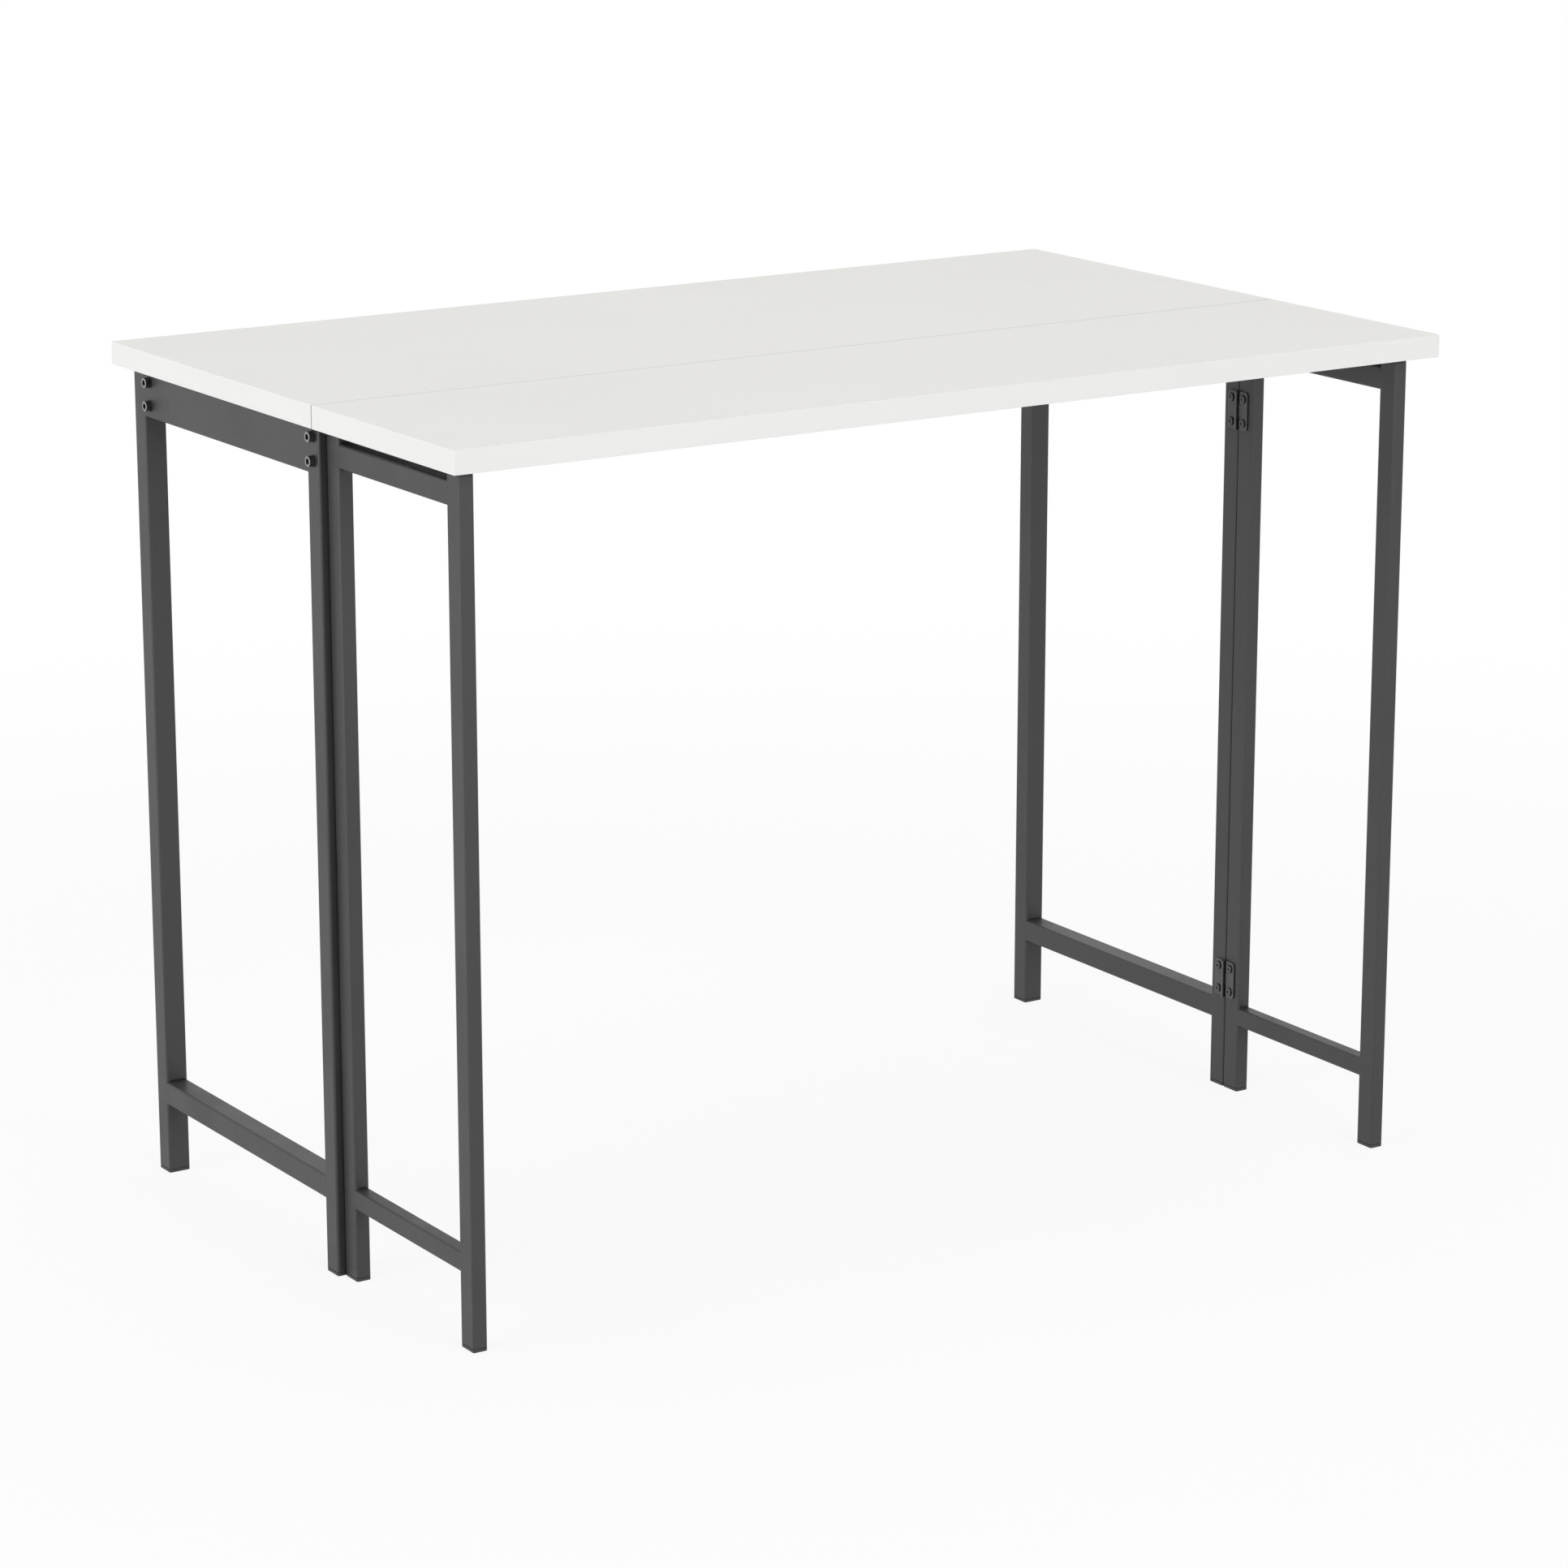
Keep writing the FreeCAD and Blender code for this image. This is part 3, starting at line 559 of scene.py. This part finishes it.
FINISHES: tuple[Finish, ...] = (
    FacedBoard(
        slot=Slot.WHITE_BOARD,
        name="white_faced_board",
        light=(0.786, 0.784, 0.772),
        deep=(0.774, 0.772, 0.759),
        smooth=0.40,
        rough=0.48,
        relief=0.000015,
    ),
    EdgingStrip(
        slot=Slot.WHITE_EDGING,
        name="white_edging_strip",
        light=(0.790, 0.789, 0.781),
        # deep is the painted shade inside the seam; the tone drift reaches only a few per cent of it.
        deep=(0.500, 0.500, 0.490),
        smooth=0.38,
        rough=0.50,
        relief=0.00001,
    ),
    PowderCoat(
        slot=Slot.GREY_TUBE,
        name="grey_powder_coat",
        light=(0.0325, 0.0325, 0.0321),
        deep=(0.0296, 0.0296, 0.0291),
        smooth=0.42,
        rough=0.52,
        relief=0.00003,
        specular=0.48,
    ),
    # Darker copy of the tube's powder coat for the weld beads: painted shade in the corners where rails
    # meet legs.
    PowderCoat(
        slot=Slot.SHADED_WELD_BEAD,
        name="shaded_weld_bead_coat",
        light=(0.0100, 0.0100, 0.0098),
        deep=(0.0075, 0.0075, 0.0073),
        smooth=0.52,
        rough=0.62,
        relief=0.00003,
        specular=0.16,
    ),
    MouldedSkin(
        slot=Slot.BLACK_PLASTIC,
        name="black_moulded_plastic",
        light=(0.028, 0.028, 0.028),
        deep=(0.036, 0.036, 0.036),
        smooth=0.45,
        rough=0.62,
        relief=0.00004,
    ),
    BlackedBolt(
        slot=Slot.BOLT_STEEL,
        name="blackened_bolt_steel",
        light=(0.27, 0.27, 0.27),
        deep=(0.010, 0.010, 0.010),
        smooth=0.34,
        rough=0.50,
        relief=0.00001,
        specular=0.22,
    ),
    HingeCoat(
        slot=Slot.HINGE_BLACK,
        name="black_hinge_coat",
        # Black hinge coat: light is a painted sheen on faces that look along X; deep is the coat's
        # black, laid as painted shade on edges, the barrel's sides and faces that look to the front.
        light=(0.115, 0.115, 0.115),
        deep=(0.006, 0.006, 0.006),
        smooth=0.40,
        rough=0.54,
        relief=0.00001,
        specular=0.16,
    ),
    WorkedSteel(
        slot=Slot.PLATED_STEEL,
        name="plated_steel",
        light=(0.56, 0.56, 0.54),
        deep=(0.44, 0.44, 0.43),
        smooth=0.24,
        rough=0.42,
        relief=0.00001,
        metallic=1.0,
    ),
    MouldedSkin(
        slot=Slot.PAD_RUBBER,
        name="rest_pad_rubber",
        # Near black, also for the gates' strips, where this tone paints the shade in the gap under the
        # leaf; the leaf rest pads share it.
        light=(0.0085, 0.0085, 0.0085),
        deep=(0.0115, 0.0115, 0.0114),
        smooth=0.70,
        rough=0.85,
        relief=0.00006,
        specular=0.18,
        grain=1500.0,
    ),
)


class Paintbox:
    """The finished materials, by slot."""

    def __init__(self, finishes: tuple[Finish, ...]) -> None:
        """Builds every finish once."""
        shelf = EffectShelf()
        self.materials = {finish.slot: finish.material(shelf) for finish in finishes}

    def coat(self, piece: bpy.types.Object, *slots: Slot) -> None:
        """Gives a piece its finishes, in the order of its faces' material numbers."""
        piece.data.materials.clear()
        for slot in slots:
            piece.data.materials.append(self.materials[slot])


def stand(name: str, data: bpy.types.ID) -> bpy.types.Object:
    """Puts an object in the scene.

    Args:
        name: name of the object.
        data: its mesh, lamp or camera.

    Returns:
        The object.
    """
    item = bpy.data.objects.new(name, data)
    bpy.context.scene.collection.objects.link(item)
    return item


def quarter_turn(steps: int) -> list[float]:
    """Angles from 0 to a right angle, in even steps."""
    return [0.5 * math.pi * step / steps for step in range(steps + 1)]


def skin_rings(shape: bmesh.types.BMesh, rings: list[list[Vector]], coat: int = 0) -> None:
    """Covers rings of points with faces and closes both ends.

    Args:
        shape: mesh to add to.
        rings: rings of as many points each, in order.
        coat: material number of the faces.
    """
    corners = [[shape.verts.new(point) for point in ring] for ring in rings]
    faces = [shape.faces.new(list(reversed(corners[0]))), shape.faces.new(corners[-1])]
    for first, second in zip(corners, corners[1:]):
        size = len(first)
        for index in range(size):
            after = (index + 1) % size
            faces.append(shape.faces.new((first[index], first[after], second[after], second[index])))
    for face in faces:
        face.material_index = coat


def finish_piece(
    name: str, shape: bmesh.types.BMesh, body: str, paints: Paintbox, *slots: Slot
) -> bpy.types.Object:
    """Turns a shape into a coated piece that rides on a body.

    Args:
        name: name of the piece.
        shape: mesh to turn into the piece, which is freed.
        body: body that carries the piece.
        paints: finished materials.
        slots: finishes, in the order of the faces' material numbers.

    Returns:
        The piece.
    """
    bmesh.ops.recalc_face_normals(shape, faces=shape.faces)
    mesh = bpy.data.meshes.new(name)
    piece = stand(name, mesh)
    paints.coat(piece, *slots)
    shape.to_mesh(mesh)
    shape.free()
    for face in mesh.polygons:
        face.use_smooth = True
    mesh.set_sharp_from_angle(angle=SHARP_ANGLE)
    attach(piece, body)
    return piece


@dataclass(frozen=True)
class TubeJoint:
    """Welded joint where the end of a rail that runs along Y meets the side of a leg."""

    rail: str
    leg: str
    over: bool
    under: bool

    def contact(self) -> tuple[float, float]:
        """Finds where the rail touches the leg.

        Returns:
            The level of the contact along Y, and the way along Y in which the rail leaves it.
        """
        rail_low, rail_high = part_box(self.rail)
        leg_low, leg_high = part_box(self.leg)
        if leg_low.y + leg_high.y < rail_low.y + rail_high.y:
            return rail_low.y, 1.0
        return rail_high.y, -1.0


@dataclass
class WeldSeams:
    """Weld seams of one tube frame: rippled beads in the corners, and fills ground flush between
    the flat faces and the rounded edges of the legs."""

    name: str
    body: str
    joints: list[TubeJoint]
    tube_corner: float = 0.002
    bead_leg: float = 0.0017
    bead_steps: int = 5
    bead_flatness: float = 0.7
    bead_end: float = 0.35
    bead_rise: float = 6.0
    ripple_pitch: float = 0.0015
    ripple_depth: float = 0.10
    least_ripples: int = 2
    rings_per_ripple: int = 5
    fill_proud: float = 0.00003
    fill_lap: float = 0.0004
    fill_root: float = 0.5
    corner_steps: int = 4
    sink: float = 0.00015
    fill_coat: ClassVar[int] = 0
    bead_coat: ClassVar[int] = 1

    def build(self, paints: Paintbox) -> bpy.types.Object:
        """Makes the seams as one piece that rides with its frame.

        Args:
            paints: finished materials.

        Returns:
            The piece.
        """
        shape = bmesh.new()
        for joint in self.joints:
            self._weld(shape, joint)
        # The fills take the tube's coat; the beads take its darker copy, painted shade in the corners.
        return finish_piece(self.name, shape, self.body, paints, Slot.GREY_TUBE, Slot.SHADED_WELD_BEAD)

    def _weld(self, shape: bmesh.types.BMesh, joint: TubeJoint) -> None:
        """Adds the beads and the fills of one joint."""
        low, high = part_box(joint.rail)
        line, way = joint.contact()
        along = Vector((0.0, way, 0.0))
        left = low.x + self.tube_corner
        right = high.x - self.tube_corner
        for wanted, level, up in ((joint.under, low.z, -1.0), (joint.over, high.z, 1.0)):
            if wanted:
                start = Vector((left, line, level))
                end = Vector((right, line, level))
                self._bead(shape, start, end, along, Vector((0.0, 0.0, up)))
        for face, outward in ((low.x, -1.0), (high.x, 1.0)):
            self._fill(shape, Vector((face, line, low.z)), high.z - low.z, outward, way)

    def _bead(
        self, shape: bmesh.types.BMesh, start: Vector, end: Vector, along: Vector, away: Vector
    ) -> None:
        """Adds a rippled bead in a corner.

        Args:
            shape: mesh to add to.
            start: one end of the corner's line.
            end: the other end.
            along: direction of the rail's face, away from the corner.
            away: direction of the leg's face, away from the corner.
        """
        span = end - start
        ripples = max(self.least_ripples, round(span.length / self.ripple_pitch))
        count = ripples * self.rings_per_ripple
        rings = []
        for index in range(count + 1):
            share = index / count
            ripple = 1.0 + self.ripple_depth * math.sin(2 * math.pi * ripples * share)
            taper = min(1.0, self.bead_end + self.bead_rise * min(share, 1.0 - share))
            leg = self.bead_leg * ripple * taper
            middle = start + span * share
            ring = [middle - (along + away) * self.sink]
            for angle in quarter_turn(self.bead_steps):
                chord = 1.0 / (math.cos(angle) + math.sin(angle))
                reach = leg * (self.bead_flatness * chord + 1.0 - self.bead_flatness)
                across = along * (reach * math.cos(angle)) + away * (reach * math.sin(angle))
                ring.append(middle + across)
            ring[1] -= away * self.sink
            ring[-1] -= along * self.sink
            rings.append(ring)
        skin_rings(shape, rings, self.bead_coat)

    def _fill(
        self, shape: bmesh.types.BMesh, corner: Vector, height: float, outward: float, way: float
    ) -> None:
        """Adds a flush fill between a leg's rounded edge and a rail's side, carried round its corners.

        Args:
            shape: mesh to add to.
            corner: lower end of the line where the rail's end meets the plane of its side.
            height: height of the rail.
            outward: way along X in which the side looks.
            way: way along Y in which the rail leaves the leg.
        """
        radius = self.tube_corner
        along = Vector((0.0, way, 0.0))
        quarter = quarter_turn(self.corner_steps)
        stations = [(-turn, radius) for turn in reversed(quarter)]
        stations += [(turn, height - radius) for turn in quarter]
        rings = []
        for turn, level in stations:
            normal = Vector((outward * math.cos(turn), 0.0, math.sin(turn)))
            centre = corner + Vector((-outward * radius, 0.0, level))
            gap = radius * (1.0 - abs(math.sin(turn)))
            face = centre + normal * (radius + self.fill_proud)
            under = centre + normal * (radius - self.sink)
            ring = [
                face + along * self.fill_lap,
                face - along * (gap + self.fill_lap),
                under - along * (gap + self.fill_lap),
                centre + normal * (self.fill_root * radius) - along * self.sink,
                under + along * self.fill_lap,
            ]
            rings.append(ring)
        skin_rings(shape, rings, self.fill_coat)


@dataclass
class ShadeStrip:
    """Near-black rubber strip on top of a gate's rail, put there to paint the shade in the gap under
    the
    leaf: thin where a leaf hinge passes over the folded gate, and raised at the outer end."""

    name: str
    body: str
    rail: str
    pins: str
    width: float = 0.0094
    height: float = 0.0070
    web: float = 0.00025
    raised_from: float = 0.136
    ramp: float = 0.010
    end_gap: float = 0.0025
    end_ramp: float = 0.003
    end_share: float = 0.6
    corner: float = 0.0018
    corner_steps: int = 4
    sink: float = 0.0001

    def build(self, paints: Paintbox) -> bpy.types.Object:
        """Makes the strip as a piece that rides with its gate.

        Args:
            paints: finished materials.

        Returns:
            The piece.
        """
        low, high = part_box(self.rail)
        middle = Vector((0.5 * (low.x + high.x), 0.0, high.z))
        rings = []
        for level, height in self._stations():
            rings.append([middle + Vector((x, level, z)) for x, z in self._profile(height)])
        shape = bmesh.new()
        skin_rings(shape, rings)
        return finish_piece(self.name, shape, self.body, paints, Slot.PAD_RUBBER)

    def _stations(self) -> list[tuple[float, float]]:
        """Levels along Y, from the hinge leg outwards, with the strip's height at each."""
        low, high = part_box(self.rail)
        pin_low, pin_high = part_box(self.pins)
        foot = 0.5 * (pin_low.y + pin_high.y) - self.raised_from
        stop = low.y + self.end_gap
        return [
            (high.y - self.end_gap, self.web),
            (foot, self.web),
            (foot - self.ramp, self.height),
            (stop + self.end_ramp, self.height),
            (stop, self.height * self.end_share),
        ]

    def _profile(self, height: float) -> list[tuple[float, float]]:
        """Works out the strip's section, flat below and rounded above.

        Args:
            height: height of the strip over the rail.

        Returns:
            Points across and up, in order round the section.
        """
        half = 0.5 * self.width
        radius = min(self.corner, height)
        side = []
        for turn in quarter_turn(self.corner_steps):
            inset = radius * (1 - math.cos(turn))
            drop = radius * (1 - math.sin(turn))
            side.append((half - inset, height - drop))
        other = [(-x, z) for x, z in reversed(side)]
        return [(half, -self.sink), *side, *other, (-half, -self.sink)]


class SubAssembly:
    """Group of the table's pieces that are made and dressed together."""

    title: ClassVar[str] = "pieces"

    def slots(self) -> dict[str, Slot]:
        """Slot of each piece, by node name."""
        raise NotImplementedError

    def additions(self, paints: Paintbox) -> list[bpy.types.Object]:
        """Makes the pieces that only the looks need."""
        return []

    def make(self, paints: Paintbox) -> None:
        """Dresses the pieces, adds the new ones and reports them.

        Args:
            paints: finished materials.
        """
        for name, slot in self.slots().items():
            paints.coat(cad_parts[name], slot)
            LOG.info("%s: %s in %s", self.title, name, slot.value)
        for piece in self.additions(paints):
            LOG.info("%s: %s added", self.title, piece.name)


@dataclass
class TableTop(SubAssembly):
    """The fixed panel and the leaf, with their edging strips."""

    title: ClassVar[str] = "table top"

    def slots(self) -> dict[str, Slot]:
        """Slot of each piece, by node name."""
        return {
            "main_panel": Slot.WHITE_BOARD,
            "leaf_panel": Slot.WHITE_BOARD,
            "main_edge_band": Slot.WHITE_EDGING,
            "leaf_edge_band": Slot.WHITE_EDGING,
            "leaf_rest_pads": Slot.PAD_RUBBER,
            "top_screws": Slot.PLATED_STEEL,
        }


@dataclass
class LeafHinges(SubAssembly):
    """Cranked hinges under the seam."""

    title: ClassVar[str] = "leaf hinges"

    def slots(self) -> dict[str, Slot]:
        """Slot of each piece, by node name."""
        names = ("main_plates", "leaf_plates", "pins", "main_screws", "leaf_screws")
        return {"leaf_hinge_" + name: Slot.PLATED_STEEL for name in names}


@dataclass
class LongRails(SubAssembly):
    """Rails that join the end frames, and the feet of those frames."""

    title: ClassVar[str] = "long rails"

    def slots(self) -> dict[str, Slot]:
        """Slot of each piece, by node name."""
        return {
            "front_rail": Slot.GREY_TUBE,
            "rear_rail": Slot.GREY_TUBE,
            "rail_end_plates": Slot.PLATED_STEEL,
            "fixed_feet": Slot.BLACK_PLASTIC,
        }


@dataclass
class EndFrame(SubAssembly):
    """Fixed frame of square tube at one end, with its bolts and the fixed halves of the hinges."""

    side: Side
    title: ClassVar[str] = "end frame"

    def slots(self) -> dict[str, Slot]:
        """Slot of each piece, by node name."""
        kinds = {
            "rear_leg": Slot.GREY_TUBE,
            "front_leg": Slot.GREY_TUBE,
            "apron": Slot.GREY_TUBE,
            "stretcher": Slot.GREY_TUBE,
            "frame_bolts": Slot.BOLT_STEEL,
            "bolt_washers": Slot.BOLT_STEEL,
            "upper_hinge_fixed_plate": Slot.HINGE_BLACK,
            "lower_hinge_fixed_plate": Slot.HINGE_BLACK,
            "hinge_pins": Slot.PLATED_STEEL,
            "hinge_fixed_screws": Slot.HINGE_BLACK,
        }
        return {f"{self.side.value}_{kind}": slot for kind, slot in kinds.items()}

    def additions(self, paints: Paintbox) -> list[bpy.types.Object]:
        """Makes the weld seams of the frame."""
        name = self.side.value
        joints = []
        for leg in ("rear_leg", "front_leg"):
            joints.append(TubeJoint(f"{name}_apron", f"{name}_{leg}", over=False, under=True))
            joints.append(TubeJoint(f"{name}_stretcher", f"{name}_{leg}", over=True, under=True))
        return [WeldSeams(f"{name}_frame_welds", "base", joints).build(paints)]


@dataclass
class Gate(SubAssembly):
    """Swinging gate of flat tube at one end."""

    side: Side
    title: ClassVar[str] = "gate"

    def slots(self) -> dict[str, Slot]:
        """Slot of each piece, by node name."""
        kinds = {
            "hinge_leg": Slot.GREY_TUBE,
            "outer_leg": Slot.GREY_TUBE,
            "top_rail": Slot.GREY_TUBE,
            "stretcher": Slot.GREY_TUBE,
            "feet": Slot.BLACK_PLASTIC,
            "caps": Slot.BLACK_PLASTIC,
            "hinge_screws": Slot.HINGE_BLACK,
            "upper_hinge_plate": Slot.HINGE_BLACK,
            "lower_hinge_plate": Slot.HINGE_BLACK,
        }
        return {f"{self.side.value}_gate_{kind}": slot for kind, slot in kinds.items()}

    def additions(self, paints: Paintbox) -> list[bpy.types.Object]:
        """Makes the weld seams of the gate, and the near-black strip that paints the shade over its
        rail.
        """
        body = f"{self.side.value}_gate"
        pins = f"{self.side.value}_hinge_pins"
        joints = []
        for leg in ("hinge_leg", "outer_leg"):
            for rail in ("top_rail", "stretcher"):
                joints.append(TubeJoint(f"{body}_{rail}", f"{body}_{leg}", over=True, under=True))
        welds = WeldSeams(f"{body}_welds", body, joints)
        strip = ShadeStrip(f"{body}_shade_strip", body, f"{body}_top_rail", pins)
        return [welds.build(paints), strip.build(paints)]


@dataclass(frozen=True)
class Softbox:
    """Square area lamp that looks at the middle of the table."""

    name: str
    place: Vector
    watts: float
    colour: Rgb = WHITE
    width: float = 3.0
    aim: Vector = Vector((0.0, 0.0, 0.5))

    def hang(self) -> None:
        """Makes the lamp."""
        lamp = bpy.data.lights.new(self.name, "AREA")
        lamp.shape = "SQUARE"
        lamp.size = self.width
        lamp.energy = self.watts
        lamp.color = self.colour
        holder = stand(self.name, lamp)
        holder.location = self.place
        holder.rotation_euler = (self.aim - self.place).to_track_quat("-Z", "Y").to_euler()


SOFTBOXES: tuple[Softbox, ...] = (
    Softbox("left_softbox", place=Vector((-4.2, 0.0, 1.4)), watts=110.0),
    Softbox("front_softbox", place=Vector((0.3, -4.6, 2.2)), watts=136.0),
    Softbox("overhead_softbox", place=Vector((0.4, 0.6, 4.2)), watts=63.0, colour=(1.0, 0.985, 0.955)),
)


@dataclass
class Studio:
    """Pale floor, soft light all round, and lamps."""

    floor_reach: float = 60.0
    floor_cells: int = 8
    floor_tone: Rgb = (0.80, 0.80, 0.80)
    floor_glow: float = 0.90
    shadow_reach: float = 0.8
    white_reach: float = 2.4
    sky_tone: Rgb = (1.0, 0.995, 0.985)
    sky_strength: float = 0.24

    def set_up(self) -> None:
        """Makes the floor, the sky and the lamps."""
        self._floor()
        self._sky()
        for box in SOFTBOXES:
            box.hang()
            LOG.info("studio: %s hung", box.name)
        bpy.context.scene.view_settings.view_transform = "Standard"

    @staticmethod
    def _seen(graph: Graph) -> bpy.types.NodeSocket:
        """Mask of the rays that show the background: straight, mirrored or through glass."""
        path = graph.add("ShaderNodeLightPath")
        direct = graph.math("MAXIMUM", path.outputs["Is Camera Ray"], path.outputs["Is Glossy Ray"])
        return graph.math("MAXIMUM", direct, path.outputs["Is Transmission Ray"])

    def _floor(self) -> None:
        """Makes the floor, white to the eye but for the table's shadow."""
        cells = self.floor_cells
        shape = bmesh.new()
        bmesh.ops.create_grid(shape, x_segments=cells, y_segments=cells, size=self.floor_reach / 2)
        mesh = bpy.data.meshes.new("studio_floor")
        shape.to_mesh(mesh)
        shape.free()
        mesh.materials.append(self._floor_paint())
        stand("studio_floor", mesh)

    def _floor_paint(self) -> bpy.types.Material:
        """Builds the floor's material.

        Returns:
            A paint that glows to the eye, a little less near the table, so that its shadow shows.
        """
        material = bpy.data.materials.new("studio_floor_paint")
        graph = Graph.blank(material)
        paint = graph.add("ShaderNodeBsdfDiffuse")
        paint.inputs["Color"].default_value = (*self.floor_tone, 1.0)
        glow = graph.add("ShaderNodeEmission")
        mixed = graph.add("ShaderNodeMixShader")
        distance = graph.add("ShaderNodeVectorMath", operation="LENGTH")
        graph.link(graph.coordinate("Object"), distance.inputs[0])
        reach = (self.shadow_reach, self.white_reach)
        share = graph.spread(distance.outputs["Value"], reach, (self.floor_glow, 1.0))
        graph.link(graph.math("MULTIPLY", self._seen(graph), share), mixed.inputs["Fac"])
        graph.link(paint.outputs["BSDF"], mixed.inputs[1])
        graph.link(glow.outputs["Emission"], mixed.inputs[2])
        output = graph.add("ShaderNodeOutputMaterial")
        graph.link(mixed.outputs["Shader"], output.inputs["Surface"])
        return material

    def _sky(self) -> None:
        """Makes the soft light all round, which the eye sees as plain white."""
        world = bpy.data.worlds.new("studio_sky")
        bpy.context.scene.world = world
        graph = Graph.blank(world)
        soft = graph.add("ShaderNodeBackground")
        soft.inputs["Color"].default_value = (*self.sky_tone, 1.0)
        soft.inputs["Strength"].default_value = self.sky_strength
        plain = graph.add("ShaderNodeBackground")
        plain.inputs["Color"].default_value = (*WHITE, 1.0)
        mixed = graph.add("ShaderNodeMixShader")
        graph.link(self._seen(graph), mixed.inputs["Fac"])
        graph.link(soft.outputs["Background"], mixed.inputs[1])
        graph.link(plain.outputs["Background"], mixed.inputs[2])
        output = graph.add("ShaderNodeOutputWorld")
        graph.link(mixed.outputs["Shader"], output.inputs["Surface"])


@dataclass(frozen=True)
class Eye:
    """The camera, at the photograph's viewing angle."""

    place: Vector = Vector((-2.3663, -3.6313, 1.4865))
    turn: float = -33.159
    tilt: float = 14.648
    lens: float = 114.021
    sensor: float = 36.0
    sight: float = 200.0

    def set_up(self) -> None:
        """Makes the camera and puts it in use."""
        camera = bpy.data.cameras.new("table_camera")
        camera.sensor_width = self.sensor
        camera.lens = self.lens
        camera.clip_end = self.sight
        holder = stand("table_camera", camera)
        holder.location = self.place
        pitch = math.radians(LEVEL_PITCH - self.tilt)
        holder.rotation_euler = Euler((pitch, 0.0, math.radians(self.turn)))
        bpy.context.scene.camera = holder


def main() -> None:
    """Builds the looks of the table in order."""
    logging.basicConfig(level=logging.INFO, format="%(message)s")
    paints = Paintbox(FINISHES)
    assemblies: list[SubAssembly] = [TableTop(), LeafHinges(), LongRails()]
    for side in Side:
        assemblies.append(EndFrame(side))
        assemblies.append(Gate(side))
    for assembly in assemblies:
        assembly.make(paints)
    Studio().set_up()
    Eye().set_up()


if __name__ == "__main__":
    main()
